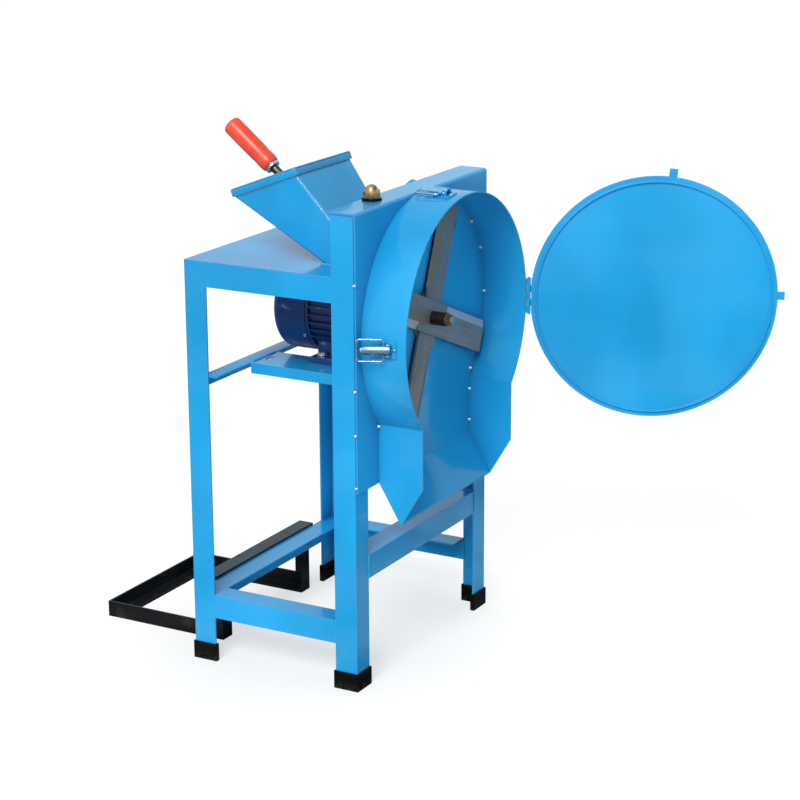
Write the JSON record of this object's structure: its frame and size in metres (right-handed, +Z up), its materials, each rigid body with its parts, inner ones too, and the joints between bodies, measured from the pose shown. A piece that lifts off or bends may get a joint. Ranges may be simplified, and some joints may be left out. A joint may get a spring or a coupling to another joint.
{
  "type": "grass shredder",
  "caption": "Electric grass shredder on an angle-iron stand: crossed blades in a round front drum with a hinged lid and chute, feed hopper with pusher.",
  "frame": {"origin": "on the floor, in the middle of the whole object's box with the lid open as pictured", "axes": "+Z up, +Y from the drum to the rear of the stand, +X to the machine's right seen from the drum"},
  "size_m": [0.6582, 1.0234, 0.8915],
  "materials": {
    "blue_paint": "gloss paint",
    "navy_paint": "satin paint",
    "black_paint": "satin black paint",
    "black_rubber": "matte rubber",
    "black_plastic": "matte moulded plastic",
    "black_steel": "blackened steel",
    "blade_steel": "ground steel with bright bevels",
    "bright_steel": "turned steel",
    "core_steel": "laminated steel",
    "winding": "varnished copper wire",
    "zinc": "zinc plated",
    "brass": "yellow passivated or brass",
    "red_plastic": "semi-gloss plastic grip"
  },
  "bodies": {
    "frame": {"leg_front_left": "blue_paint", "leg_front_right": "blue_paint", "leg_rear_left": "blue_paint", "leg_rear_right": "blue_paint", "top_rail_left": "blue_paint", "top_rail_right": "blue_paint", "top_rail_rear": "blue_paint", "bottom_rail_left": "blue_paint", "bottom_rail_right": "blue_paint", "bottom_rail_rear": "blue_paint", "bottom_rail_front": "blue_paint", "cross_rail": "blue_paint", "motor_rail_left": "blue_paint", "motor_rail_right": "blue_paint", "front_panel": "blue_paint", "table_top": "blue_paint", "feed_hopper": "blue_paint", "small_inlet": "blue_paint", "drum_ring": "blue_paint", "chute_left": "blue_paint", "chute_right": "blue_paint", "chute_deflector": "blue_paint", "motor_frame": "navy_paint", "motor_front_shield": "navy_paint", "motor_rear_shield": "navy_paint", "fan_cowl": "navy_paint", "terminal_box": "navy_paint", "rubber_feet": "black_rubber", "bracket_frame": "black_paint", "flange_nut": "brass", "flange_washer": "black_rubber", "hinge_drum_leaf": "blue_paint", "hinge_pin": "zinc", "latch_left_base": "zinc", "latch_top_base": "zinc", "stator_core": "core_steel", "stator_winding": "winding", "bearing_front": "bright_steel", "bearing_rear": "bright_steel", "cable_gland": "black_plastic", "hex_bolts": "zinc"},
    "lid_door": {"lid": "blue_paint", "lid_catches": "blue_paint", "hinge_lid_leaf": "blue_paint"},
    "rotor": {"motor_fan": "black_plastic", "rotor_core": "core_steel", "motor_shaft": "bright_steel", "blade_hub": "blade_steel", "blade_front": "blade_steel", "blade_rear": "blade_steel", "clamp_collar": "black_steel", "shaft_nut": "brass"},
    "left_lever": {"latch_left_lever": "zinc"},
    "left_bail": {"latch_left_bail": "zinc"},
    "top_lever": {"latch_top_lever": "zinc"},
    "top_bail": {"latch_top_bail": "zinc"},
    "pusher": {"pusher_grip": "red_plastic", "pusher_ferrule": "zinc", "pusher_rod": "black_steel", "pusher_head": "black_plastic"}
  },
  "joints": [
    {"name": "lid_hinge", "type": "hinge", "parent": "frame", "child": "lid_door", "pos_m": [0.12259, -0.12826, 0.5756], "axis": [0, 0, 1], "range_deg": [-117.7, 60]},
    {"name": "rotor_spin", "type": "hinge", "parent": "frame", "child": "rotor", "pos_m": [-0.0909, -0.04525, 0.5756], "axis": [0, 1, 0], "continuous": true},
    {"name": "left_lever_pivot", "type": "hinge", "parent": "frame", "child": "left_lever", "pos_m": [-0.3089, -0.09625, 0.5756], "axis": [0, 0, 1], "range_deg": [-25, 65]},
    {"name": "left_bail_pivot", "type": "hinge", "parent": "left_lever", "child": "left_bail", "pos_m": [-0.31186, -0.08991, 0.5756], "axis": [0, 0, 1], "range_deg": [0, 90]},
    {"name": "top_lever_pivot", "type": "hinge", "parent": "frame", "child": "top_lever", "pos_m": [-0.11747, -0.09625, 0.79197], "axis": [0.9925, 0, 0.1219], "range_deg": [0, 90]},
    {"name": "top_bail_pivot", "type": "hinge", "parent": "top_lever", "child": "top_bail", "pos_m": [-0.11747, -0.08926, 0.79197], "axis": [0.9925, 0, 0.1219], "range_deg": [0, 90]},
    {"name": "pusher_slide", "type": "slide", "parent": "frame", "child": "pusher", "axis": [0, -0.8757, -0.4829], "range_m": [-0.09, 0.035]}
  ]
}
